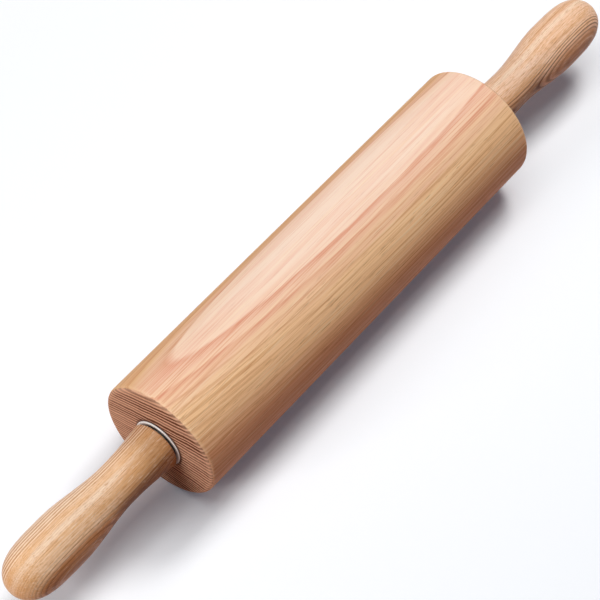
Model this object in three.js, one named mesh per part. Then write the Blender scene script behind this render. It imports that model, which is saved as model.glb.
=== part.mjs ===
// Wooden rolling pin: a turned barrel that spins on a steel axle between two handles.
// The handles are screwed tight on the axle and turn with it. In each end of the barrel
// a nylon cup holds a ring of loose steel balls, which run on a steel cone on the axle.
// Millimetres, +Z up. The axle lies along X, and the barrel rests on the plane z = 0.
import * as THREE from "three";

// Barrel
const BARREL_LENGTH = 254;
const BARREL_DIAMETER = 66;
const BARREL_EDGE_RADIUS = 2.2;
const BORE_CLEARANCE = 1.2; // radial, round the thick middle of the axle

// Axle: a thick middle between two shoulders, with thinner threaded ends
const AXLE_END_DIAMETER = 8;
const AXLE_SHOULDER = 1; // radial step up to the thick middle
const AXLE_TAIL = 20; // length of each end past the threaded insert
const AXLE_CHAMFER = 0.8;

// Bearings
const BALL_DIAMETER = 5;
const BALL_SPACING = 0.3; // least gap between neighbouring balls
const TRACK_CLEARANCE = 0.15; // between a ball and its cup or cone
const CONE_WALL = 1.3;
const CONE_HEAD_LENGTH = 3.9;
const CONE_HEAD_CLEARANCE = 0.6; // radial, inside the cup's mouth
const CUP_WALL = 1.15;
const CUP_FLOOR = 2;
const FLANGE_OVERHANG = 1.4; // the cup's flange past its body
const FLANGE_THICKNESS = 0.9;
const FLANGE_EDGE_RADIUS = 0.4;

// Washers
const WASHER_THICKNESS = 0.5;
const WASHER_INSET = 2.1; // radial, inside the flange's rim

// Handles: a flared base, a neck, a belly and a blunt round end
const HANDLE_BASE_DIAMETER = 26.2;
const HANDLE_BASE_EDGE_RADIUS = 0.7;
const HANDLE_NECK_DIAMETER = 22.2;
const HANDLE_BELLY_DIAMETER = 29.1;
const BASE_TO_NECK = 28.2;
const NECK_TO_BELLY = 38;
const BELLY_TO_END = 34.3;
const END_FULLNESS = 4; // 2 is an ellipse, and more stays thick for longer
const BLIND_END_GAP = 1.5; // free bore past the axle's end

// Threaded inserts in the handles
const INSERT_LENGTH = 26;
const INSERT_WALL = 2.2;
const INSERT_RIBS = 3;
const INSERT_RIB_HEIGHT = 0.5;

// Fits
const SEAT_GAP = 0.25; // faces and bores that bear on each other
const RUNNING_GAP = 0.3; // faces that turn past each other

// Facets round the axis
const BARREL_SIDES = 64;
const HANDLE_SIDES = 40;
const BEARING_SIDES = 36;
const AXLE_SIDES = 24;
const BALL_DETAIL = 2;

// Radii that follow from the driving dimensions
const barrelRadius = BARREL_DIAMETER / 2;
const axleEndRadius = AXLE_END_DIAMETER / 2;
const axleCoreRadius = axleEndRadius + AXLE_SHOULDER;
const boreRadius = axleCoreRadius + BORE_CLEARANCE;
const ballRadius = BALL_DIAMETER / 2;
const trackRadius = ballRadius + TRACK_CLEARANCE;
const seatBoreRadius = axleEndRadius + SEAT_GAP; // cone, washer and insert round the axle
const coneRadius = seatBoreRadius + CONE_WALL;
const ballCircleRadius = coneRadius + trackRadius;
const cupMouthRadius = ballCircleRadius + trackRadius;
const cupRadius = cupMouthRadius + CUP_WALL;
const flangeRadius = cupRadius + FLANGE_OVERHANG;
const coneHeadRadius = cupMouthRadius - CONE_HEAD_CLEARANCE;
const washerRadius = flangeRadius - WASHER_INSET;
const insertRadius = seatBoreRadius + INSERT_WALL;
const ballCount = Math.floor(Math.PI / Math.asin((BALL_DIAMETER + BALL_SPACING) / (2 * ballCircleRadius)));

// Places along the axle, outward from the barrel's end face
const flangeInner = SEAT_GAP;
const flangeOuter = flangeInner + FLANGE_THICKNESS;
const washerInner = flangeOuter + RUNNING_GAP;
const washerOuter = washerInner + WASHER_THICKNESS;
const handleBase = washerOuter + SEAT_GAP;
const coneOuter = washerInner - SEAT_GAP;
const ballPlace = coneOuter - CONE_HEAD_LENGTH - trackRadius;
const cupFloorOuter = ballPlace - trackRadius;
const cupFloorInner = cupFloorOuter - CUP_FLOOR;
const coneInner = cupFloorOuter + RUNNING_GAP;
const shoulder = coneInner - SEAT_GAP;
const insertInner = handleBase + SEAT_GAP;
const insertOuter = insertInner + INSERT_LENGTH;
const axleEnd = insertOuter + AXLE_TAIL;

const endFace = BARREL_LENGTH / 2;
const axisHeight = barrelRadius * Math.cos(Math.PI / BARREL_SIDES); // the barrel lies on one facet

const material = (color, roughness, metalness) =>
  new THREE.MeshStandardMaterial({ color, roughness, metalness });
const barrelWood = material(0xe3bd92, 0.5, 0);
const handleWood = material(0xd2a26c, 0.45, 0);
const nylon = material(0xf3ece2, 0.4, 0);
const steel = material(0x9a9b9d, 0.35, 1);
const brass = material(0xb08d4a, 0.35, 1);

// Points on a round stretch, from one angle to another in degrees; 0 is along the axle and 90 is outward
function arc(place, radius, size, from, to, steps) {
  return Array.from({ length: steps + 1 }, (_, i) => {
    const angle = THREE.MathUtils.degToRad(from + ((to - from) * i) / steps);
    return [place + size * Math.cos(angle), radius + size * Math.sin(angle)];
  });
}

// Turns an outline of [place along X, radius] points about the X axis, with flat facets above and below
function turned(outline, sides) {
  const points = outline.map(([place, radius]) => new THREE.Vector2(Math.max(radius, 0), place));
  return new THREE.LatheGeometry(points, sides, Math.PI / sides).rotateZ(-Math.PI / 2);
}

// As above, for a ring whose outline closes on itself
const turnedRing = (outline, sides) => turned([...outline, outline[0]], sides);

function piece(name, geometry, finish) {
  const mesh = new THREE.Mesh(geometry, finish);
  mesh.name = name;
  return mesh;
}

// Roller with a through bore, a pocket for a cup in each end and rounded rims
function barrelGeometry() {
  const pocketRadius = cupRadius + SEAT_GAP;
  const pocketFloor = endFace + cupFloorInner - SEAT_GAP;
  const rim = endFace - BARREL_EDGE_RADIUS;
  const shoulderRadius = barrelRadius - BARREL_EDGE_RADIUS;
  return turnedRing(
    [
      [-pocketFloor, boreRadius],
      [-pocketFloor, pocketRadius],
      [-endFace, pocketRadius],
      ...arc(-rim, shoulderRadius, BARREL_EDGE_RADIUS, 180, 90, 3),
      ...arc(rim, shoulderRadius, BARREL_EDGE_RADIUS, 90, 0, 3),
      [endFace, pocketRadius],
      [pocketFloor, pocketRadius],
      [pocketFloor, boreRadius],
    ],
    BARREL_SIDES,
  );
}

// Steel bar, thick between the two cones, with chamfered ends
function axleGeometry() {
  const half = [
    [endFace + shoulder, axleCoreRadius],
    [endFace + shoulder, axleEndRadius],
    [endFace + axleEnd - AXLE_CHAMFER, axleEndRadius],
    [endFace + axleEnd, axleEndRadius - AXLE_CHAMFER],
    [endFace + axleEnd, 0],
  ];
  const otherHalf = half.map(([place, radius]) => [-place, radius]).reverse();
  return turned([...otherHalf, ...half], AXLE_SIDES);
}

// Nylon cup with a flange on the barrel's end face; its inside corner is the balls' outer track
function cupGeometry() {
  const rimRadius = flangeRadius - FLANGE_EDGE_RADIUS;
  return turnedRing(
    [
      [cupFloorInner, boreRadius],
      [cupFloorInner, cupRadius],
      [flangeInner, cupRadius],
      ...arc(flangeInner + FLANGE_EDGE_RADIUS, rimRadius, FLANGE_EDGE_RADIUS, 180, 90, 2),
      ...arc(flangeOuter - FLANGE_EDGE_RADIUS, rimRadius, FLANGE_EDGE_RADIUS, 90, 0, 2),
      [flangeOuter, cupMouthRadius],
      ...arc(ballPlace, ballCircleRadius, trackRadius, 90, 180, 5),
      [cupFloorOuter, boreRadius],
    ],
    BEARING_SIDES,
  );
}

// Steel cone on the axle; its hollow under the head is the balls' inner track
function coneGeometry() {
  return turnedRing(
    [
      [coneInner, seatBoreRadius],
      [coneInner, coneRadius],
      ...arc(ballPlace, ballCircleRadius, trackRadius, 270, 360, 5),
      [ballPlace + trackRadius, coneHeadRadius],
      [coneOuter, coneHeadRadius],
      [coneOuter, seatBoreRadius],
    ],
    BEARING_SIDES,
  );
}

function washerGeometry() {
  return turnedRing(
    [
      [washerInner, seatBoreRadius],
      [washerInner, washerRadius],
      [washerOuter, washerRadius],
      [washerOuter, seatBoreRadius],
    ],
    BEARING_SIDES,
  );
}

// Threaded sleeve with ribs that grip the wood
function insertGeometry() {
  const ribPitch = INSERT_LENGTH / (2 * INSERT_RIBS + 1);
  const outside = [];
  for (let i = 0; i <= 2 * INSERT_RIBS; i += 1) {
    const radius = insertRadius - (i % 2) * INSERT_RIB_HEIGHT;
    outside.push([insertInner + i * ribPitch, radius]);
    outside.push([insertInner + (i + 1) * ribPitch, radius]);
  }
  return turnedRing(
    [[insertInner, seatBoreRadius], ...outside, [insertOuter, seatBoreRadius]],
    AXLE_SIDES,
  );
}

// Radius of the handle's outside, from its base to its end, as [place, radius] points
function handleOutside() {
  const baseRadius = HANDLE_BASE_DIAMETER / 2;
  const neckRadius = HANDLE_NECK_DIAMETER / 2;
  const bellyRadius = HANDLE_BELLY_DIAMETER / 2;
  const neck = handleBase + BASE_TO_NECK;
  const belly = neck + NECK_TO_BELLY;
  const flare = (t) => neckRadius + (baseRadius - neckRadius) * (1 - t) ** 2;
  const swell = (t) => neckRadius + (bellyRadius - neckRadius) * t * t * (3 - 2 * t);
  const taper = (t) => bellyRadius * Math.sqrt(1 - t ** END_FULLNESS);
  const baseSteps = 5;
  const swellSteps = 8;
  const endSteps = 10;
  const edgeShare = HANDLE_BASE_EDGE_RADIUS / BASE_TO_NECK;
  const edgeRadius = flare(edgeShare) - HANDLE_BASE_EDGE_RADIUS;
  const points = arc(handleBase + HANDLE_BASE_EDGE_RADIUS, edgeRadius, HANDLE_BASE_EDGE_RADIUS, 180, 90, 3);
  for (let i = 1; i <= baseSteps; i += 1) {
    const t = edgeShare + ((1 - edgeShare) * i) / baseSteps;
    points.push([handleBase + t * BASE_TO_NECK, flare(t)]);
  }
  for (let i = 1; i <= swellSteps; i += 1) {
    points.push([neck + (i / swellSteps) * NECK_TO_BELLY, swell(i / swellSteps)]);
  }
  for (let i = 1; i < endSteps; i += 1) {
    const t = Math.sin(((i / endSteps) * Math.PI) / 2);
    points.push([belly + t * BELLY_TO_END, taper(t)]);
  }
  points.push([belly + BELLY_TO_END, 0]);
  return points;
}

// Turned handle with a blind bore: wide for the insert, then narrower for the axle's tail
function handleGeometry() {
  const insertBore = insertRadius + SEAT_GAP;
  const boreStep = insertOuter + SEAT_GAP;
  const boreEnd = axleEnd + BLIND_END_GAP;
  return turned(
    [
      [boreEnd, 0],
      [boreEnd, seatBoreRadius],
      [boreStep, seatBoreRadius],
      [boreStep, insertBore],
      [handleBase, insertBore],
      ...handleOutside(),
    ],
    HANDLE_SIDES,
  );
}

// Everything at one end of the pin, built outward along +X from the barrel's end face
function endGroup(side) {
  const group = new THREE.Group();
  group.add(
    piece(`${side}_bearing_cup`, cupGeometry(), nylon),
    piece(`${side}_bearing_cone`, coneGeometry(), steel),
    piece(`${side}_washer`, washerGeometry(), steel),
    piece(`${side}_threaded_insert`, insertGeometry(), brass),
    piece(`${side}_handle`, handleGeometry(), handleWood),
  );
  for (let i = 0; i < ballCount; i += 1) {
    const angle = (i / ballCount) * 2 * Math.PI;
    const ball = piece(`${side}_ball_${i + 1}`, new THREE.IcosahedronGeometry(ballRadius, BALL_DETAIL), steel);
    ball.position.set(ballPlace, ballCircleRadius * Math.sin(angle), ballCircleRadius * Math.cos(angle));
    group.add(ball);
  }
  return group;
}

const rollingPin = new THREE.Group();
rollingPin.position.z = axisHeight;
rollingPin.add(piece("barrel", barrelGeometry(), barrelWood), piece("axle_rod", axleGeometry(), steel));

const rightEnd = endGroup("right");
rightEnd.position.x = endFace;
const leftEnd = endGroup("left");
leftEnd.position.x = -endFace;
leftEnd.rotation.z = Math.PI;
rollingPin.add(rightEnd, leftEnd);

const part = new THREE.Group();
part.add(rollingPin);

export default part;
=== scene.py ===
import math

import bmesh
import bpy
from mathutils import Matrix, Vector


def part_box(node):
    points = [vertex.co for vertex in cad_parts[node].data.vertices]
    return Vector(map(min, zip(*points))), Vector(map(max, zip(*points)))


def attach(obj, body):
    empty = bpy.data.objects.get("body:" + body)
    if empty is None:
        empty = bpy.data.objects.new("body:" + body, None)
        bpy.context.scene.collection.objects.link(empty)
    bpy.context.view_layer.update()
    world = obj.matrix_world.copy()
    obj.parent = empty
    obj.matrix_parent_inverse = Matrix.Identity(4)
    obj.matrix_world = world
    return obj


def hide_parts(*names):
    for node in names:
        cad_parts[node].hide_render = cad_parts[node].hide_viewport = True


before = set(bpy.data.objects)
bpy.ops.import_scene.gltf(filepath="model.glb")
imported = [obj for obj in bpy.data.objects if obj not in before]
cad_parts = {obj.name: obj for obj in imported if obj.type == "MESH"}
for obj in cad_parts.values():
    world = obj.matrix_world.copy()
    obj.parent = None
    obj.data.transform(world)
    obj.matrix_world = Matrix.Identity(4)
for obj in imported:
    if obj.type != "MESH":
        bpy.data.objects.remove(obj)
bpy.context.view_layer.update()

scene = bpy.context.scene
axleHeight = (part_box("barrel")[0].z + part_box("barrel")[1].z) / 2
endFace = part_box("barrel")[1].x  # the barrel's end faces are at plus and minus this
ends = (("left", -1.0), ("right", 1.0))  # each end's name and its direction along the axle
sharpFrom = math.radians(32)  # edges that turn by this or more stay sharp
mergeDistance = 1e-6  # metres
nearEnough = 1e-5  # how closely the points of one rim agree, metres
perMetre = 1000  # materials are measured in millimetres
print("frame loaded:", len(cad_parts), "nodes, axle at", round(axleHeight, 5))


class Wire:  # a socket that can stand in a sum; each sum adds its Math node
    def __init__(self, tree, socket=None):
        self.tree = tree
        self.socket = socket

    def put(self, kind, settings=None, sockets=None, out=0):  # any node: settings first, then sockets
        node = self.tree.nodes.new(kind)
        for key, value in (settings or {}).items():
            if key == "stops":  # a colour ramp's stops, as place and colour
                ramp = node.color_ramp
                while len(ramp.elements) < len(value):
                    ramp.elements.new(0.5)
                for element, (place, shade) in zip(ramp.elements, value):
                    element.position = place
                    element.color = shade
            else:
                setattr(node, key, value)
        for key, value in (sockets or {}).items():
            if isinstance(value, Wire):
                self.tree.links.new(value.socket, node.inputs[key])
            else:
                node.inputs[key].default_value = value
        return Wire(self.tree, node.outputs[out]) if len(node.outputs) else None

    def also(self, out):  # another output of the same node
        return Wire(self.tree, self.socket.node.outputs[out])

    def calc(self, operation, *terms):
        return self.put("ShaderNodeMath", {"operation": operation}, dict(enumerate(terms)))

    def __add__(self, other):
        return self.calc("ADD", self, other)

    def __radd__(self, other):
        return self.calc("ADD", other, self)

    def __sub__(self, other):
        return self.calc("SUBTRACT", self, other)

    def __rsub__(self, other):
        return self.calc("SUBTRACT", other, self)

    def __mul__(self, other):
        return self.calc("MULTIPLY", self, other)

    def __rmul__(self, other):
        return self.calc("MULTIPLY", other, self)

    def __truediv__(self, other):
        return self.calc("DIVIDE", self, other)

    def __rtruediv__(self, other):
        return self.calc("DIVIDE", other, self)

    def __pow__(self, other):
        return self.calc("POWER", self, other)

    def clamp(self, low=0.0, high=1.0):
        return self.calc("MINIMUM", self.calc("MAXIMUM", self, low), high)

    def rise(self, low, high):  # 0 below low, 1 above high, smooth between
        limits = {0: self, 1: low, 2: high}
        return self.put("ShaderNodeMapRange", {"interpolation_type": "SMOOTHSTEP"}, limits)

    def band(self, start, full, still, stop):  # 1 from full to still, 0 outside start and stop
        return self.rise(start, full) * (1 - self.rise(still, stop))

    def over(self, start, gain, most):  # grows with what is above start
        return ((self - start) * gain).clamp(0, most)

    def below(self, start, gain, most):  # grows with what is below start
        return ((start - self) * gain).clamp(0, most)

    def share(self, low, more):  # low where this is 0, with more added where it is 1
        return low + more * self

    def less(self, loss):  # 1 where this is 0, with the loss taken off where it is 1
        return 1 - loss * self


def colour(red, green, blue):  # screen values to the linear ones that nodes take
    def linear(value):
        value /= 255
        return value / 12.92 if value <= 0.04045 else ((value + 0.055) / 1.055) ** 2.4
    return (linear(red), linear(green), linear(blue), 1.0)


def tint(w, low, high, share):  # from one colour to another; w is any wire of the tree
    return w.put("ShaderNodeMix", {"data_type": "RGBA"}, {0: share, 6: low, 7: high}, 2)


def combine(w, x, y, z):
    return w.put("ShaderNodeCombineXYZ", {}, {0: x, 1: y, 2: z})


def noise(w, vector, detail, roughness, seed):
    sockets = {"Vector": vector, "W": seed, "Scale": 1.0, "Detail": detail, "Roughness": roughness}
    return w.put("ShaderNodeTexNoise", {"noise_dimensions": "4D"}, sockets)


def grain(w, spot, length, thickness, detail, roughness, seed):  # noise drawn out along the axle
    x, y, z = spot
    return noise(w, combine(w, x / length, y / thickness, z / thickness), detail, roughness, seed)


def layers(w, x, depth, length, fineness, detail, roughness, seed):  # noise that keeps to one depth
    return noise(w, combine(w, x / length, depth * fineness, 0.0), detail, roughness, seed)


def perRing(w, ring, width, detail, roughness, seed):  # noise that changes only from ring to ring
    return noise(w, combine(w, ring / width, 0.0, 0.0), detail, roughness, seed)


def ringPhase(w, count, seed):  # how far through its ring a point is, and a number drawn for that ring
    drawn = {"W": w.calc("FLOOR", count) + seed}
    return w.calc("FRACT", count), w.put("ShaderNodeTexWhiteNoise", {"noise_dimensions": "1D"}, drawn)


def relief(w, strength, depth, height):
    return w.put("ShaderNodeBump", {}, {"Strength": strength, "Distance": depth, "Height": height})


def millimetres(w):  # place about the axle, in millimetres, as three wires
    place = w.put("ShaderNodeTexCoord", {}, {}, "Object")
    about = w.put("ShaderNodeMapping", {}, {
        "Vector": place, "Location": (0, 0, -axleHeight * perMetre), "Scale": [perMetre] * 3})
    split = w.put("ShaderNodeSeparateXYZ", {}, {0: about})
    return [split.also(axis) for axis in range(3)]


def emptyTree(owner):  # the cleared node tree of a material or world
    owner.use_nodes = True
    owner.node_tree.nodes.clear()
    return Wire(owner.node_tree)


def finishMaterial(name, paint):  # paint gives the shader's sockets for an empty tree
    material = bpy.data.materials.new(name)
    w = emptyTree(material)
    shader = w.put("ShaderNodeBsdfPrincipled", {}, paint(w))
    w.put("ShaderNodeOutputMaterial", {}, {"Surface": shader})
    return material


# Barrel wood: growth rings lie almost flat across the barrel and bow along it,
# so they run as lines over the end faces and as a long oval over the top.
# Range: where a layer starts and where it is full, in millimetres or in noise from 0 to 1.
# Growth: where it starts, how fast it grows and its most. Loss: what is taken off where it is full.
# Share: its strength, or its least strength and what another layer adds
barrelWood = {
    "ringTilt": 0.0855, "ringBend": 0.0025, "ringSkew": 0.00545,  # rings across the barrel
    "bow": 2.1e-4, "bowPlace": 40, "twist": -4.2e-4,  # rings along the barrel
    "firstRing": 30.85, "ringWidth": 2.7, "crowding": 0.0017,  # rings crowd towards the heart
    "wander": 1.2, "jitter": 0.55, "uneven": 2.2, "ripple": 1.7,  # how far each noise moves a ring
    "grain": {  # length and thickness in millimetres, detail, roughness, seed
        "wander": (160, 42, 1, 0.5, 3.1), "jitter": (20, 1.5, 3, 0.6, 7.7),
        "ripple": (200, 10, 2, 0.5, 8.3), "streak": (48, 0.62, 3, 0.6, 1.3),
        "glint": (34, 0.55, 2, 0.5, 6.6), "broad": (90, 2.6, 2, 0.5, 5.2),
        "pore": (8.0, 0.40, 1, 0.5, 9.4), "cut": (40, 0.7, 3, 0.65, 2.6),
    },
    "unevenRings": (5, 1, 0.5, 4.2), "threadLayers": (130, 1.7, 3, 0.65, 2.4), "ringSeed": 11.5,
    "tornGrain": (30, 0.9, 2, 0.5, 3.9), "torn": 0.7, "endRange": (125.9, 126.4),  # the end faces' edge
    "outerRange": (20.5, 28.2), "farRange": (6, 18), "topRange": (31.2, 32.2),
    "lateCurve": (4.0, -2.4), "lateEnd": (0.10, 0.06),
    "stops": (
        (0.10, colour(230, 166, 125)), (0.37, colour(250, 200, 150)), (0.64, colour(251, 206, 157)),
        (0.84, colour(245, 204, 168)), (1.0, colour(249, 221, 200))),
    "stopsDepth": 33,
    "blush": colour(241, 190, 164), "blushGrowth": (0.46, 3.2, 0.8), "blushShare": (0.25, 0.5),
    "edgeGold": colour(221, 171, 117),
    "flankWaver": 1.5, "flankRange": (21.3, 24.2), "flankShare": 0.95,
    "slopeRange": (4, 14), "slopeEnd": (27.8, 30.4), "slopeShare": 0.80,
    "salmonLine": colour(220, 136, 106), "tanLine": colour(196, 122, 66), "salmonLoss": 0.8,
    "line": 0.20, "lineLot": 0.40, "lineOuter": 0.50, "lineFibre": (0.45, 0.8), "lineLoss": 0.95,
    "fibreContrast": 2.6, "fibreRange": (0.48, 0.62), "fibreEnd": (30.3, 31.2), "fibreShare": 0.42,
    "dash": colour(192, 121, 66), "pinkDash": colour(228, 160, 128),
    "dashGrowth": (0.52, 5.0, 0.42), "dashRange": (0.53, 0.65), "dashShare": (0.38, 0.02),
    "pale": colour(250, 220, 180), "paleGrowth": (0.46, 4.0, 0.55), "paleLoss": 0.7,
    "glintRange": (0.55, 0.68), "glintShare": (0.42, -0.12),
    "pore": colour(156, 92, 48), "poreRange": (0.62, 0.74), "poreShare": (0.44, -0.34),
    # a painted highlight along the rounded rims
    "rimHighlightRange": (124.2, 125.6), "rimHighlightShare": 0.16,
    "endPale": colour(231, 179, 147), "endDark": colour(100, 56, 38), "endRimShadow": colour(78, 44, 34),
    "endGround": 0.08, "endBand": (0.05, 0.42, 0.72, 0.95), "endLot": (0.62, 0.38),
    "endCut": 0.55, "endThread": 0.5,
    "endEdge": (29.5, 32.0), "endEdgeLoss": 0.35, "endFar": (6, 28), "endFarLoss": 0.22,
    # the darkest end colour is painted shadow on the end face round the bearing cup
    "rimShadowRange": (13.4, 15.0), "rimShadowShare": 0.75,
    "streakHeight": 0.6, "poreDepth": 0.8, "lateHeight": 0.15, "bump": (0.20, 0.00012),
    "roughness": 0.50, "streakRough": 0.12, "endRough": 0.26, "poreRough": 0.06, "specular": 0.10,
}


def paintBarrel(w):
    s = barrelWood
    x, y, z = spot = millimetres(w)
    field = {name: grain(w, spot, *row) for name, row in s["grain"].items()}
    streak, broad = field["streak"], field["broad"]
    bowed = x - s["bowPlace"]
    ring = s["ringTilt"] * y + z + s["ringBend"] * y * y + s["ringSkew"] * y * z
    ring = ring + s["twist"] * bowed * y - s["bow"] * bowed * bowed
    ring = ring + s["wander"] * (field["wander"] - 0.5) + s["jitter"] * (field["jitter"] - 0.5)
    outer = ring.rise(*s["outerRange"])  # the pale outermost wood
    moved = s["uneven"] * (perRing(w, ring, *s["unevenRings"]) - 0.5)
    moved = moved + s["ripple"] * (field["ripple"] - 0.5)
    under = ring + moved * (1 - outer) - s["firstRing"]
    count = under / s["ringWidth"] - s["crowding"] * under * under
    phase, lot = ringPhase(w, count, s["ringSeed"])
    late = phase ** outer.share(*s["lateCurve"])  # slow to darken
    late = late * ((1 - phase) / outer.share(*s["lateEnd"])).clamp()  # and quick to end
    thread = layers(w, x, ring, *s["threadLayers"])  # follows the rings
    pore = field["pore"].rise(*s["poreRange"])
    along = w.calc("ABSOLUTE", x)
    far = y.rise(*s["farRange"])

    # The ramp runs from reddish heartwood low on the barrel to cream on top; its darker, redder low end is
    # also painted shade on the lower flank.
    wood = w.put("ShaderNodeValToRGB", {"stops": s["stops"]}, {0: (ring / s["stopsDepth"]).clamp()})
    wood = tint(w, wood, s["blush"], broad.over(*s["blushGrowth"]) * outer.share(*s["blushShare"]))
    # Golden wood tone towards the far side; its darkening of that edge is also painted shade where the light
    # falls off.
    flank = (y + s["flankWaver"] * (broad - 0.5)).rise(*s["flankRange"]) * s["flankShare"]
    slope = y.rise(*s["slopeRange"]) * (1 - ring.rise(*s["slopeEnd"])) * s["slopeShare"]
    wood = tint(w, wood, s["edgeGold"], w.calc("MAXIMUM", flank, slope))
    line = tint(w, s["tanLine"], s["salmonLine"], outer * far.less(s["salmonLoss"]))
    fibrous = ((streak - 0.5) * s["fibreContrast"] + 0.5).clamp()
    strength = late * (s["line"] + s["lineLot"] * lot + s["lineOuter"] * outer)
    strength = strength * fibrous.share(*s["lineFibre"]) * ring.rise(*s["topRange"]).less(s["lineLoss"])
    wood = tint(w, wood, line, strength.clamp())
    fibres = streak.rise(*s["fibreRange"]) * outer * (1 - ring.rise(*s["fibreEnd"])) * (1 - far)
    wood = tint(w, wood, s["salmonLine"], fibres * s["fibreShare"])
    wood = tint(w, wood, s["dash"], thread.over(*s["dashGrowth"]) * (1 - outer))
    wood = tint(w, wood, s["pale"], thread.below(*s["paleGrowth"]) * outer.less(s["paleLoss"]))
    dash = tint(w, s["dash"], s["pinkDash"], outer)
    wood = tint(w, wood, dash, streak.rise(*s["dashRange"]) * outer.share(*s["dashShare"]))
    wood = tint(w, wood, s["pale"], field["glint"].rise(*s["glintRange"]) * outer.share(*s["glintShare"]))
    wood = tint(w, wood, s["pore"], pore * outer.share(*s["poreShare"]))
    wood = tint(w, wood, s["pale"], along.rise(*s["rimHighlightRange"]) * s["rimHighlightShare"])  # painted highlight along the rounded rims

    out = w.calc("SQRT", y * y + z * z)
    grown = s["endGround"] + phase.band(*s["endBand"]) * lot.share(*s["endLot"])
    grown = grown + (field["cut"] - 0.5) * s["endCut"] + (thread - 0.5) * s["endThread"]
    grown = grown * out.rise(*s["endEdge"]).less(s["endEdgeLoss"])
    # Lines weaken towards the far side, so the face is lighter there: painted light across the end face.
    grown = grown * y.rise(*s["endFar"]).less(s["endFarLoss"])
    face = tint(w, s["endPale"], s["endDark"], grown.clamp())
    face = tint(w, face, s["endRimShadow"], (1 - out.rise(*s["rimShadowRange"])) * s["rimShadowShare"])  # painted shadow on the end face round the bearing cup
    torn = grain(w, (x, y, ring), *s["tornGrain"]) - 0.5
    end = (along + s["torn"] * torn).rise(*s["endRange"])

    height = streak * s["streakHeight"] - pore * s["poreDepth"] + late * s["lateHeight"]
    rough = s["roughness"] + s["streakRough"] * (streak - 0.5) + s["endRough"] * end + s["poreRough"] * pore
    return {"Base Color": tint(w, wood, face, end), "Roughness": rough,
            "Normal": relief(w, *s["bump"], height), "Specular IOR Level": s["specular"]}


# Handle wood: finer rings that stand on edge, so ovals show on the belly's side.
# Names end as the barrel's do; From and End are depths among the rings, in millimetres
handleWood = {
    "left": {
        "facing": 186, "ringWidth": 1.12, "firstRing": 13.1, "seed": 2.0, "grainTilt": 0.003,
        "ovalFrom": 7.0, "ovalShare": (0.12, 0.42), "linesEnd": 12.6,
        "neckFrom": 8.3, "neckEnd": 13.2, "neckShadeBand": 0.78,
        "baseAmber": 0.62, "tipAmber": 0.42, "sideAmber": 0.08, "neckAmber": 0.0,
        "heartFrom": 9.4, "heartShare": 0.70,
        "highlightRing": 0.2, "paleBack": 0.40, "backFrom": 3.3, "backLines": 0.75,
        "line": colour(116, 58, 32), "pale": colour(250, 213, 178), "tan": colour(236, 184, 134),
    },
    "right": {
        "facing": 176, "ringWidth": 0.92, "firstRing": 11.4, "seed": 6.0, "grainTilt": -0.002,
        "ovalFrom": 8.0, "ovalShare": (0.14, 0.90), "linesEnd": 11.4,
        "neckFrom": 9.4, "neckEnd": 11.4, "neckShadeBand": 0.74,
        "baseAmber": 0.0, "tipAmber": 0.15, "sideAmber": 0.0, "neckAmber": 0.28,
        "heartFrom": 10.8, "heartShare": 0.54,
        "highlightRing": -1.2, "paleBack": 0.0, "backFrom": 2.4, "backLines": 0.2,
        "line": colour(116, 58, 24), "pale": colour(254, 217, 190), "tan": colour(242, 192, 150),
    },
    "fades": {  # how far each of the limits above is spread
        "ovalFrom": 2.2, "linesEnd": 1.2, "neckFrom": 1.6, "neckEnd": 0.8,
        "heartFrom": 2.4, "backFrom": 3.8,
    },
    "wander": 0.7, "jitter": 0.16, "uneven": 0.45, "fineUneven": 0.9,  # how far each noise moves a ring
    "grain": {  # as for the barrel, with the seeds counted from each handle's own
        "wander": (70, 16, 1, 0.5, 0), "jitter": (14, 1.4, 2, 0.5, 1), "fibre": (16, 0.5, 3, 0.65, 2),
        "broad": (60, 3, 2, 0.5, 3), "fleck": (4.5, 0.55, 2, 0.5, 4), "pore": (4.0, 0.36, 1, 0.5, 5),
    },
    "unevenRings": (2.6, 1, 0.5, 6), "threadLayers": (80, 1.5, 3, 0.65, 7),
    "paleGrowth": (0.34, 2.6, 1.0), "heart": colour(196, 120, 72),
    # a painted highlight band along each handle's top
    "highlightWaver": 1.6, "highlightRange": (0.3, 2.6), "highlightShare": 0.55,
    "amber": colour(214, 154, 92), "baseRange": (133, 172), "tipRange": (213, 228),
    "sideRange": (2.5, 6.0), "neckRange": (162, 176), "neckSide": (6.0, 9.0), "neckShare": (0.36, 0.8),
    "fleck": colour(206, 138, 70), "fleckRange": (0.53, 0.68), "fleckShare": 0.46,
    "glint": colour(255, 230, 204), "glintRange": (0.55, 0.70), "glintShare": 0.46,
    "glintGrowth": (0.46, 5.0, 0.7), "glintBack": (0.6, 0.4),
    "thread": colour(186, 118, 68), "threadGrowth": (0.53, 5.0, 0.6), "threadBack": (0.7, 0.3),
    "fibreGrowth": (0.52, 2.4, 0.4),
    "fineWidth": 1.5, "finePale": (0.0, 0.2, 0.3, 0.5), "fineDark": (0.5, 0.7, 0.8, 1.0), "fineShare": 0.9,
    "lateBand": (0.38, 0.80, 0.88, 1.0), "lateLot": (0.55, 0.45), "linesLoss": 0.72, "lateMost": 0.85,
    "pore": colour(136, 82, 46), "poreRange": (0.62, 0.76), "poreShare": 0.34,
    "fibreHeight": 0.5, "poreDepth": 0.8, "lateHeight": 0.2, "fleckHeight": 0.4, "bump": (0.20, 0.00012),
    "roughness": 0.34, "fibreRough": 0.12, "poreRough": 0.06, "specular": 0.08,
}


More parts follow.
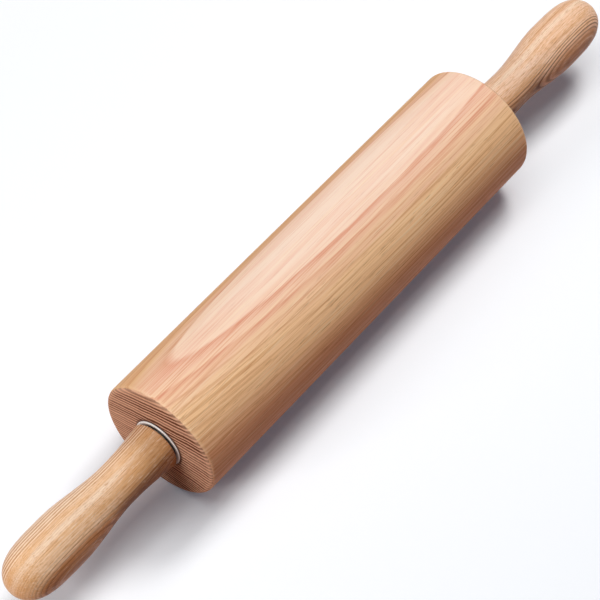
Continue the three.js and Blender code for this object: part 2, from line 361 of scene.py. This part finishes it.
def paintHandle(side):
    s, own = handleWood, handleWood[side]

    def seeded(row):
        return (*row[:-1], own["seed"] + row[-1])

    def paint(w):
        x, y, z = spot = millimetres(w)
        field = {name: grain(w, spot, *seeded(row)) for name, row in s["grain"].items()}
        fibre, broad, fleck = field["fibre"], field["broad"], field["fleck"]
        facing = math.radians(own["facing"])
        ring = math.cos(facing) * y + math.sin(facing) * z + own["grainTilt"] * x
        ring = ring + s["wander"] * (field["wander"] - 0.5) + s["jitter"] * (field["jitter"] - 0.5)
        uneven = perRing(w, ring, *seeded(s["unevenRings"])) - 0.5
        count = (ring + s["uneven"] * uneven - own["firstRing"]) / own["ringWidth"]
        phase, lot = ringPhase(w, count, own["seed"])
        late = phase.band(*s["lateBand"])
        thread = layers(w, x, ring, *seeded(s["threadLayers"]))
        pore = field["pore"].rise(*s["poreRange"])

        def past(limit, depth=ring):
            return depth.rise(own[limit], own[limit] + s["fades"][limit])
        oval = past("ovalFrom")  # where the rings lie along the surface
        back = past("backFrom", -1 * ring)
        along = w.calc("ABSOLUTE", x)
        nearBase = 1 - along.rise(*s["neckRange"])

        wood = tint(w, own["tan"], own["pale"], broad.over(*s["paleGrowth"]))
        # Reddish heartwood on the side the rings face; its darkness there is also painted shade on that
        # shaded flank.
        wood = tint(w, wood, s["heart"], past("heartFrom") * own["heartShare"])
        # A painted highlight band along the top of each handle, laid in as a pale streak in the grain;
        # paleBack also lightens the back side.
        away = w.calc("ABSOLUTE", ring - own["highlightRing"] + s["highlightWaver"] * (broad - 0.5))
        pale = (1 - away.rise(*s["highlightRange"])) * s["highlightShare"]
        wood = tint(w, wood, s["glint"], w.calc("MAXIMUM", pale, back * own["paleBack"]))
        # Amber is partly the wood's own tone and partly painted shade: at the base by the barrel, at the
        # tip, on the shaded side and low on the far handle's neck.
        amber = own["sideAmber"] * ring.rise(*s["sideRange"]) + own["tipAmber"] * along.rise(*s["tipRange"])
        amber = amber + own["baseAmber"] * (1 - along.rise(*s["baseRange"]))
        amber = amber + own["neckAmber"] * nearBase * ring.rise(*s["neckSide"])
        wood = tint(w, wood, s["amber"], amber.clamp())
        # A dark band low on the neck by the base: partly a dark ring in the grain, partly painted shade.
        neck = past("neckFrom") * (1 - past("neckEnd")) * nearBase * own["neckShadeBand"]
        wood = tint(w, wood, own["line"], neck * broad.share(*s["neckShare"]).clamp())
        wood = tint(w, wood, s["fleck"], fleck.rise(*s["fleckRange"]) * s["fleckShare"])
        wood = tint(w, wood, s["glint"], (1 - fleck).rise(*s["glintRange"]) * s["glintShare"])
        wood = tint(w, wood, s["thread"], thread.over(*s["threadGrowth"]) * back.share(*s["threadBack"]))
        wood = tint(w, wood, s["glint"], thread.below(*s["glintGrowth"]) * back.share(*s["glintBack"]))
        wood = tint(w, wood, s["thread"], fibre.over(*s["fibreGrowth"]))

        fine = w.calc("FRACT", (ring + s["fineUneven"] * uneven) / s["fineWidth"])  # thin lines on the back
        lines = back * own["backLines"]
        wood = tint(w, wood, s["glint"], fine.band(*s["finePale"]) * lines)
        wood = tint(w, wood, s["thread"], fine.band(*s["fineDark"]) * lines * s["fineShare"])
        grown = late * lot.share(*s["lateLot"]) * oval.share(*own["ovalShare"])
        grown = grown * (past("linesEnd") * (1 - nearBase)).less(s["linesLoss"])
        wood = tint(w, wood, own["line"], grown.clamp(0, s["lateMost"]))
        wood = tint(w, wood, s["pore"], pore * s["poreShare"])

        height = fibre * s["fibreHeight"] - pore * s["poreDepth"]
        height = height + late * s["lateHeight"] + fleck * s["fleckHeight"]
        rough = s["roughness"] + s["fibreRough"] * (fibre - 0.5) + s["poreRough"] * pore
        return {"Base Color": wood, "Roughness": rough,
                "Normal": relief(w, *s["bump"], height), "Specular IOR Level": s["specular"]}
    return paint


# Nylon of the cups, a little cloudy, with a fine moulded skin
nylonFinish = {
    "bright": colour(252, 249, 246), "dark": colour(244, 238, 232), "brightShare": (-0.2, 1.6),
    "cloud": (3, 3, 3, 0.5, 4.4), "skin": (0.25, 0.25, 1, 0.5, 8.8), "bump": (0.08, 0.00005),
    "roughness": 0.20, "cloudRough": 0.12,
}


def paintNylon(w):
    s = nylonFinish
    spot = millimetres(w)
    cloud = grain(w, spot, *s["cloud"])
    return {"Base Color": tint(w, s["dark"], s["bright"], cloud.share(*s["brightShare"]).clamp()),
            "Roughness": s["roughness"] + s["cloudRough"] * (cloud - 0.5),
            "Normal": relief(w, *s["bump"], grain(w, spot, *s["skin"]))}


# Steels and brass; marks says how strong the turning marks are
metalFinish = {
    "steel": {"bright": colour(158, 158, 160), "dark": colour(112, 110, 110), "rough": 0.34, "marks": 1.0},
    "ball": {"bright": colour(198, 198, 202), "dark": colour(168, 168, 172), "rough": 0.14, "marks": 0.2},
    "brass": {"bright": colour(196, 160, 88), "dark": colour(138, 104, 54), "rough": 0.32, "marks": 1.0},
    "cloud": (4, 4, 3, 0.5, 6.1), "markLayers": (0.16, 6.25, 2, 0.5, 1.9),
    "brightShare": (-0.1, 1.2), "markShare": 0.5, "cloudRough": 0.16, "markRough": 0.10,
    "bumpStrength": 0.12, "bumpDepth": 0.00004,
}


def paintMetal(finish):
    s, own = metalFinish, metalFinish[finish]

    def paint(w):
        x, y, z = spot = millimetres(w)
        cloud = grain(w, spot, *s["cloud"])
        marks = layers(w, x, w.calc("SQRT", y * y + z * z), *s["markLayers"])
        bright = cloud.share(*s["brightShare"]) + (marks - 0.5) * (s["markShare"] * own["marks"])
        rough = own["rough"] + s["cloudRough"] * (cloud - 0.5)
        return {"Base Color": tint(w, own["dark"], own["bright"], bright.clamp()), "Metallic": 1.0,
                "Roughness": rough + (s["markRough"] * own["marks"]) * (marks - 0.5),
                "Normal": relief(w, s["bumpStrength"] * own["marks"], s["bumpDepth"], marks)}
    return paint


materials = {
    "barrel": finishMaterial("barrelWood", paintBarrel),
    "leftHandle": finishMaterial("leftHandleWood", paintHandle("left")),
    "rightHandle": finishMaterial("rightHandleWood", paintHandle("right")),
    "nylon": finishMaterial("mouldedNylon", paintNylon),
    "steel": finishMaterial("turnedSteel", paintMetal("steel")),
    "ball": finishMaterial("polishedBall", paintMetal("ball")),
    "brass": finishMaterial("turnedBrass", paintMetal("brass")),
}
print("materials made:", len(materials))


def startTree(name, sizes):  # a Geometry Nodes tree with a named input for each size
    tree = bpy.data.node_groups.new(name, "GeometryNodeTree")
    kinds = {int: "NodeSocketInt", float: "NodeSocketFloat", bpy.types.Material: "NodeSocketMaterial"}
    for label, value in sizes.items():
        tree.interface.new_socket(name=label, in_out="INPUT", socket_type=kinds[type(value)])
    tree.interface.new_socket(name="Geometry", in_out="OUTPUT", socket_type="NodeSocketGeometry")
    w = Wire(tree)
    source = w.put("NodeGroupInput")
    return w, {label: source.also(label) for label in sizes}


def endTree(w, geometry, material):
    geometry = w.put("GeometryNodeRealizeInstances", {}, {0: geometry})
    geometry = w.put("GeometryNodeSetMaterial", {}, {"Geometry": geometry, "Material": material})
    w.put("NodeGroupOutput", {}, {0: geometry})
    return w.tree


def closerAtEnds(w, share):  # rows stand closer together at both ends
    return 0.5 - 0.5 * w.calc("COSINE", share * math.pi)


def roundedEdge(w, edge, inside):  # how far an edge of this radius has dropped, this far inside it
    short = w.calc("MAXIMUM", edge - inside, 0.0)
    return edge - w.calc("SQRT", edge * edge - short * short)


def lathe(w, size, outline):  # a grid rolled round the axle; outline gives place and radius
    grid = w.put("GeometryNodeMeshGrid", {}, {
        "Size X": 1.0, "Size Y": 1.0, "Vertices X": size["Rows"], "Vertices Y": size["Sides"] + 1})
    spot = w.put("ShaderNodeSeparateXYZ", {}, {0: w.put("GeometryNodeInputPosition")})
    turn = spot.also("Y") + 0.5
    place, radius = outline(spot.also("X") + 0.5, turn)
    angle = turn * (2 * math.pi)
    around = combine(w, place, radius * w.calc("COSINE", angle), radius * w.calc("SINE", angle) + axleHeight)
    rolled = w.put("GeometryNodeSetPosition", {}, {"Geometry": grid, "Position": around})
    closed = w.put("GeometryNodeMergeByDistance", {}, {"Geometry": rolled, "Distance": mergeDistance})
    return endTree(w, closed, size["Material"])


def grow(tree, sizes):  # the tree's result as a plain mesh
    host = bpy.data.objects.new("skin", bpy.data.meshes.new("skin"))
    scene.collection.objects.link(host)
    modifier = host.modifiers.new("shape", "NODES")
    modifier.node_group = tree
    for item in tree.interface.items_tree:
        if item.in_out == "INPUT":
            modifier[item.identifier] = sizes[item.name]
    made = bpy.data.meshes.new_from_object(host.evaluated_get(bpy.context.evaluated_depsgraph_get()))
    host.modifiers.clear()
    bpy.data.objects.remove(host)
    return made


def settle(name, bm, material, body, slot, *nodes):  # faces out, smooth with sharp corners, on its body
    bmesh.ops.recalc_face_normals(bm, faces=bm.faces)
    for face in bm.faces:
        face.smooth = True
    for edge in bm.edges:
        edge.smooth = edge.calc_face_angle(0) < sharpFrom
    mesh = bpy.data.meshes.new(name)
    bm.to_mesh(mesh)
    bm.free()
    mesh.materials.append(material)
    piece = bpy.data.objects.new(name, mesh)
    scene.collection.objects.link(piece)
    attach(piece, body)
    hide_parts(*nodes)
    print("piece:", name, len(mesh.polygons), "faces")


def angleOf(vert):
    return math.atan2(vert.co.z - axleHeight, vert.co.y)


def openRim(bm, place, radius=None):  # the open edge at this place, in order round the axle
    edges = [edge for edge in bm.edges if len(edge.link_faces) == 1]
    verts = {v for edge in edges for v in edge.verts if abs(v.co.x - place) < nearEnough}
    if radius:
        verts = {v for v in verts if abs(math.hypot(v.co.y, v.co.z - axleHeight) - radius) < nearEnough}
    return sorted(verts, key=angleOf)


def bridge(bm, one, other):
    for i in range(len(one)):
        j = (i + 1) % len(one)
        bm.faces.new((one[i], one[j], other[j], other[i]))


def ringAt(bm, place, radius, angles):
    return [bm.verts.new((place, radius * math.cos(a), axleHeight + radius * math.sin(a))) for a in angles]


def lineBore(bm, rim, outline, farRim=None):  # rings from an open rim inwards, to the far rim or a flat end
    angles = [angleOf(v) for v in rim]
    for place, radius in outline:
        ring = ringAt(bm, place, radius, angles)
        bridge(bm, rim, ring)
        rim = ring
    if farRim:
        bridge(bm, rim, farRim)
    else:
        bm.faces.new(rim)


def bothHalves(half):  # an outline from the middle outwards, after its mirror image
    return [(-place, radius) for place, radius in reversed(half)] + half


def corner(place, radius, size, fromAngle, toAngle, steps):  # points on a rounded corner
    turns = [math.radians(fromAngle + (toAngle - fromAngle) * i / steps) for i in range(steps + 1)]
    return [(place + size * math.cos(a), radius + size * math.sin(a)) for a in turns]


def turnPair(name, outline, sides, material, body, slot, node):  # a closed outline turned at both ends
    angles = [2 * math.pi * i / sides for i in range(sides)]
    for side, outward in ends:
        bm = bmesh.new()
        rings = [ringAt(bm, outward * (endFace + place), radius, angles) for place, radius in outline]
        for i in range(len(rings)):
            bridge(bm, rings[i - 1], rings[i])
        settle(side + name, bm, material, body, slot, side + node)


# Barrel: a plain roller with rounded rims, bored through, and a pocket in each end
barrelSizes = {
    "skin": {  # the tree's inputs
        "Length": endFace * 2, "Radius": axleHeight, "Rim Radius": 0.0022,
        "Rows": 120, "Sides": 160, "Material": materials["barrel"],
    },
    "pocketRadius": 0.01225, "pocketDepth": 0.01025, "bore": 0.0062,
}


def barrelTree():
    w, size = startTree("turnedBarrel", barrelSizes["skin"])

    def outline(share, turn):
        place = (closerAtEnds(w, share) - 0.5) * size["Length"]
        inside = size["Length"] / 2 - w.calc("ABSOLUTE", place)
        return place, size["Radius"] - roundedEdge(w, size["Rim Radius"], inside)
    return lathe(w, size, outline)


def makeBarrel():
    s = barrelSizes
    bm = bmesh.new()
    bm.from_mesh(grow(barrelTree(), s["skin"]))
    floor = endFace - s["pocketDepth"]
    half = [(floor, s["bore"]), (floor, s["pocketRadius"]), (endFace, s["pocketRadius"])]
    lineBore(bm, openRim(bm, -endFace), bothHalves(half), openRim(bm, endFace))
    settle("turnedBarrel", bm, materials["barrel"], "roller", "barrel_wood", "barrel")


makeBarrel()


# Handles: a flared base, a neck, a belly and a blunt round end
handleSizes = {
    "skin": {
        "Start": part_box("right_handle")[0].x, "Outward": 1.0,
        "Base Radius": 0.0131, "Neck Radius": 0.0111, "Belly Radius": 0.01455,
        "Base To Neck": 0.0282, "Neck To Belly": 0.0380, "Belly To End": 0.0343,
        "Edge Radius": 0.0007, "End Fullness": 4.0,
        "Rows": 150, "Sides": 120, "Material": materials["leftHandle"],
    },
    "insertRadius": 0.0067, "insertDepth": 0.0265, "axleRadius": 0.00425, "axleDepth": 0.04775,
}


def handleTree():
    w, size = startTree("turnedHandle", handleSizes["skin"])

    def outline(share, turn):
        neck = size["Base To Neck"]
        belly = neck + size["Neck To Belly"]
        along = closerAtEnds(w, share) * (belly + size["Belly To End"])
        flare = 1 - (along / neck).clamp()
        swell = ((along - neck) / size["Neck To Belly"]).clamp()
        taper = ((along - belly) / size["Belly To End"]).clamp()
        radius = size["Neck Radius"] + (size["Base Radius"] - size["Neck Radius"]) * flare * flare
        radius = radius + (size["Belly Radius"] - size["Neck Radius"]) * swell * swell * (3 - 2 * swell)
        radius = radius * w.calc("SQRT", (1 - taper ** size["End Fullness"]).clamp())
        place = size["Outward"] * (size["Start"] + along)
        return place, radius - roundedEdge(w, size["Edge Radius"], along)
    return lathe(w, size, outline)


def makeHandles():
    tree = handleTree()
    s = handleSizes
    base = s["skin"]["Start"]
    bore = [
        (base, s["insertRadius"]), (base + s["insertDepth"], s["insertRadius"]),
        (base + s["insertDepth"], s["axleRadius"]), (base + s["axleDepth"], s["axleRadius"]),
    ]
    for side, outward in ends:
        material = materials[side + "Handle"]
        bm = bmesh.new()
        bm.from_mesh(grow(tree, {**s["skin"], "Outward": outward, "Material": material}))
        lineBore(bm, openRim(bm, outward * base), [(outward * place, radius) for place, radius in bore])
        settle(side + "TurnedHandle", bm, material, "axle_and_handles", "handle_wood", side + "_handle")


makeHandles()


# The balls' race, which cups, cones and balls share; places are from the barrel's end face
ballRace = {"place": -0.00535, "circle": 0.0082, "track": 0.00265, "steps": 12}


# Nylon cups: a flange on the barrel's end face, and the balls' outer track inside
cupSizes = {
    "floorInner": -0.0100, "floorOuter": -0.0080, "flangeInner": 0.00030, "flangeOuter": 0.00100,
    "bore": 0.0062, "radius": 0.0120, "mouth": 0.01085, "flange": 0.0133,
    "edge": 0.0001, "edgeSteps": 3, "bead": 0.0005, "beadSteps": 8,
    "dish": 0.00070, "dishRadius": 0.01240, "mouthEdge": 0.0003, "mouthSteps": 4, "sides": 128,
}


def makeCups():
    s, race = cupSizes, ballRace
    edge, bead, mouthEdge = s["edge"], s["bead"], s["mouthEdge"]
    outline = [
        (s["floorInner"], s["bore"]), (s["floorInner"], s["radius"]), (s["flangeInner"], s["radius"]),
        *corner(s["flangeInner"] + edge, s["flange"] - edge, edge, 180, 90, s["edgeSteps"]),
        *corner(s["flangeOuter"] - bead, s["flange"] - bead, bead, 90, 0, s["beadSteps"]),
        (s["dish"], s["dishRadius"]),  # the face lies deeper than the raised rim
        *corner(s["dish"] - mouthEdge, s["mouth"] + mouthEdge, mouthEdge, 0, -90, s["mouthSteps"]),
        *corner(race["place"], race["circle"], race["track"], 90, 180, race["steps"]),
        (s["floorOuter"], s["bore"]),
    ]
    turnPair("NylonCup", outline, s["sides"], materials["nylon"], "roller", "nylon", "_bearing_cup")


makeCups()


# Steel washers between the cones and the handles
washerSizes = {
    "inner": 0.00145, "outer": 0.00195, "bore": 0.00425, "radius": 0.0113, "edge": 0.00015, "sides": 96,
}


def makeWashers():
    s = washerSizes
    edge = s["edge"]
    outline = [
        (s["inner"] + edge, s["bore"]), (s["inner"], s["bore"] + edge), (s["inner"], s["radius"] - edge),
        (s["inner"] + edge, s["radius"]), (s["outer"] - edge, s["radius"]), (s["outer"], s["radius"] - edge),
        (s["outer"], s["bore"] + edge), (s["outer"] - edge, s["bore"]),
    ]
    turnPair("SteelWasher", outline, s["sides"], materials["steel"],
             "axle_and_handles", "steel", "_washer")


makeWashers()


# Balls: nine loose ones in each race
ballSizes = {
    "Count": 9, "Ball Radius": 0.0025, "Subdivisions": 4,
    "Circle Radius": ballRace["circle"], "Place": endFace + ballRace["place"], "Material": materials["ball"],
}


def ballTree():
    w, size = startTree("ballRing", ballSizes)
    step = w.put("GeometryNodeInputIndex") / size["Count"] * (2 * math.pi)
    spot = combine(w, size["Place"], size["Circle Radius"] * w.calc("SINE", step),
                   size["Circle Radius"] * w.calc("COSINE", step) + axleHeight)
    points = w.put("GeometryNodePoints", {}, {"Count": size["Count"], "Position": spot})
    ball = w.put("GeometryNodeMeshIcoSphere", {}, {
        "Radius": size["Ball Radius"], "Subdivisions": size["Subdivisions"]})
    balls = w.put("GeometryNodeInstanceOnPoints", {}, {"Points": points, "Instance": ball})
    return endTree(w, balls, size["Material"])


def makeBalls():
    tree = ballTree()
    for side, outward in ends:
        bm = bmesh.new()
        bm.from_mesh(grow(tree, {**ballSizes, "Place": outward * ballSizes["Place"]}))
        nodes = [f"{side}_ball_{i + 1}" for i in range(ballSizes["Count"])]
        settle(side + "BallRing", bm, materials["ball"], side + "_balls", "ball_steel", *nodes)


makeBalls()


# Steel cones: the balls' inner track under a thick head
coneSizes = {
    "inner": -0.0077, "outer": 0.0012, "bore": 0.00425, "radius": 0.00555, "head": 0.01025,
    "edge": 0.0002, "sides": 96,
}


def makeCones():
    s, race = coneSizes, ballRace
    edge, head, under = s["edge"], s["head"], race["place"] + race["track"]
    outline = [
        (s["inner"], s["bore"]), (s["inner"], s["radius"]),
        *corner(race["place"], race["circle"], race["track"], 270, 360, race["steps"]),
        (under, head - edge), (under + edge, head), (s["outer"] - edge, head), (s["outer"], head - edge),
        (s["outer"], s["bore"]),
    ]
    turnPair("SteelCone", outline, s["sides"], materials["steel"],
             "axle_and_handles", "steel", "_bearing_cone")


makeCones()


# Axle: a thick middle between two shoulders, and a thread cut on each end
axleSizes = {
    "thread": {
        "Start": endFace + 0.00245, "Length": 0.0452, "Outward": 1.0,
        "Radius": 0.0040, "Depth": 0.00055, "Pitch": 0.00125, "Flank": 1.6, "Crest": 0.3,
        "Rows": 300, "Sides": 40, "Material": materials["steel"],
    },
    "shoulder": endFace - 0.00795, "core": 0.0050, "edge": 0.0003, "chamfer": 0.0008,
}


def threadTree():
    w, size = startTree("cutThread", axleSizes["thread"])

    def outline(share, turn):
        along = share * size["Length"]
        place = size["Outward"] * (size["Start"] + along)
        phase = w.calc("FRACT", place / size["Pitch"] - turn)  # one groove that winds to the right
        groove = (size["Flank"] * w.calc("ABSOLUTE", 2 * phase - 1) - size["Crest"]).clamp()
        runOut = (along / size["Pitch"]).clamp() * ((size["Length"] - along) / size["Pitch"]).clamp()
        return place, size["Radius"] - size["Depth"] * groove * runOut
    return lathe(w, size, outline)


cutThread = threadTree()


def makeAxle():
    s, thread = axleSizes, axleSizes["thread"]
    start, stop, radius = thread["Start"], thread["Start"] + thread["Length"], thread["Radius"]
    bm = bmesh.new()
    for _, outward in ends:
        bm.from_mesh(grow(cutThread, {**thread, "Outward": outward}))
        lineBore(bm, openRim(bm, outward * stop), [(outward * (stop + s["chamfer"]), radius - s["chamfer"])])
    shoulder, core, edge = s["shoulder"], s["core"], s["edge"]
    half = [(shoulder - edge, core), (shoulder, core - edge), (shoulder, radius)]
    lineBore(bm, openRim(bm, -start), bothHalves(half), openRim(bm, start))
    settle("threadedAxle", bm, materials["steel"], "axle_and_handles", "steel", "axle_rod")


makeAxle()


# Brass inserts: a coarse thread outside that grips the wood, a fine one inside for the axle
insertSizes = {
    "both": {"Length": 0.0260, "Sides": 48, "Material": materials["brass"]},  # the rest is the axle's
    "outside": {"Radius": 0.00645, "Depth": 0.0005, "Pitch": 0.0026, "Rows": 120},
    "inside": {"Radius": 0.00455, "Depth": 0.00047, "Rows": 170},
}


def makeInserts():
    shared = {**axleSizes["thread"], **insertSizes["both"]}
    threads = [{**shared, **insertSizes[face]} for face in ("outside", "inside")]
    for side, outward in ends:
        bm = bmesh.new()
        for thread in threads:
            bm.from_mesh(grow(cutThread, {**thread, "Outward": outward}))
        for place in (shared["Start"], shared["Start"] + shared["Length"]):
            outer, inner = [openRim(bm, outward * place, thread["Radius"]) for thread in threads]
            bridge(bm, outer, inner)
        node = side + "_threaded_insert"
        settle(side + "BrassInsert", bm, materials["brass"], "axle_and_handles", "brass", node)


makeInserts()


# Floor, light and camera
stageLook = {
    "white": (1.0, 1.0, 1.0, 1.0), "floor": (0.99, 0.99, 1.0, 1.0), "floorReach": 4.0,
    "bounce": (0.39, 0.215, 0.16, 1.0),  # what the floor throws back on the pin
    "lift": (0.44, 0.70, 1.0, 1.0), "liftStrength": 0.07,  # brightens the shadows on the floor
    "fade": (0.21, 0.38),  # metres from the middle, where the floor turns plain white
    "sky": (0.88, 0.93, 1.0, 1.0), "skyStrength": 0.08,
    "lamps": {  # watts, two side lengths and distance in metres, direction from the pin
        "overhead": (8.7, 1.6, 0.76, 1.3, (0.0, 0.032, 1.0)),
        "nearEnd": (8.2, 0.55, 0.42, 1.3, (-0.904, 0.175, 0.385)),
        "farEnd": (7.2, 0.45, 0.36, 1.3, (0.592, 0.06, 0.806)),
    },
}


def seenDirectly(w):  # 1 for what the camera, a reflection or clear glass shows
    path = w.put("ShaderNodeLightPath")
    seen = [path.also(ray) for ray in ("Is Camera Ray", "Is Glossy Ray", "Is Transmission Ray")]
    return (seen[0] + seen[1] + seen[2]).clamp()


def makeFloor():
    s, reach = stageLook, stageLook["floorReach"]
    mesh = bpy.data.meshes.new("floor")
    corners = [(-reach, -reach, 0), (reach, -reach, 0), (reach, reach, 0), (-reach, reach, 0)]
    mesh.from_pydata(corners, [], [(0, 1, 2, 3)])
    floor = bpy.data.objects.new("floor", mesh)
    scene.collection.objects.link(floor)
    material = bpy.data.materials.new("paleFloor")
    w = emptyTree(material)
    seen = seenDirectly(w)
    matte = w.put("ShaderNodeBsdfDiffuse", {}, {"Color": tint(w, s["bounce"], s["floor"], seen)})
    lift = w.put("ShaderNodeEmission", {}, {"Color": s["lift"], "Strength": seen * s["liftStrength"]})
    lit = w.put("ShaderNodeAddShader", {}, {0: matte, 1: lift})
    white = w.put("ShaderNodeEmission", {}, {"Color": s["white"], "Strength": 1.0})
    spot = w.put("ShaderNodeTexCoord", {}, {}, "Object")
    away = w.put("ShaderNodeVectorMath", {"operation": "LENGTH"}, {0: spot}, "Value")
    surface = w.put("ShaderNodeMixShader", {}, {0: seen * away.rise(*s["fade"]), 1: lit, 2: white})
    w.put("ShaderNodeOutputMaterial", {}, {"Surface": surface})
    mesh.materials.append(material)


def makeSky():
    s = stageLook
    world = bpy.data.worlds.new("studio")
    w = emptyTree(world)
    seen = seenDirectly(w)
    strength = seen * (1 - s["skyStrength"]) + s["skyStrength"]
    sky = w.put("ShaderNodeBackground", {}, {
        "Color": tint(w, s["sky"], s["white"], seen), "Strength": strength})
    w.put("ShaderNodeOutputWorld", {}, {"Surface": sky})
    scene.world = world


def makeLamps():
    for name, (watts, length, width, distance, direction) in stageLook["lamps"].items():
        lamp = bpy.data.lights.new(name, "AREA")
        lamp.energy = watts
        lamp.shape = "RECTANGLE"
        lamp.size, lamp.size_y = length, width
        away = Vector(direction).normalized()
        across = Vector((0, 1, 0)).cross(away).normalized()  # the lamp's long side runs along the pin
        holder = bpy.data.objects.new(name, lamp)
        holder.location = Vector((0, 0, axleHeight)) + away * distance
        holder.rotation_mode = "QUATERNION"
        holder.rotation_quaternion = Matrix((across, away.cross(across), away)).transposed().to_quaternion()
        scene.collection.objects.link(holder)


makeFloor()
makeSky()
makeLamps()


cameraView = {  # the photograph's own viewpoint; place in metres, lens and sensor in millimetres
    "place": (-0.5664, -0.4337, 0.9659), "right": (0.6221, -0.7830, 0.0), "up": (0.6272, 0.4983, 0.5986),
    "lens": 142.36, "sensor": 36,
}


def makeCamera():
    s = cameraView
    data = bpy.data.cameras.new("camera")
    data.lens = s["lens"]
    data.sensor_width = s["sensor"]
    right = Vector(s["right"]).normalized()
    up = Vector(s["up"])
    up = (up - right * up.dot(right)).normalized()
    turn = Matrix((right, up, right.cross(up))).transposed().to_4x4()
    camera = bpy.data.objects.new("camera", data)
    camera.matrix_world = Matrix.Translation(s["place"]) @ turn
    scene.collection.objects.link(camera)
    scene.camera = camera


makeCamera()
scene.view_settings.view_transform = "Standard"
print("stage ready")
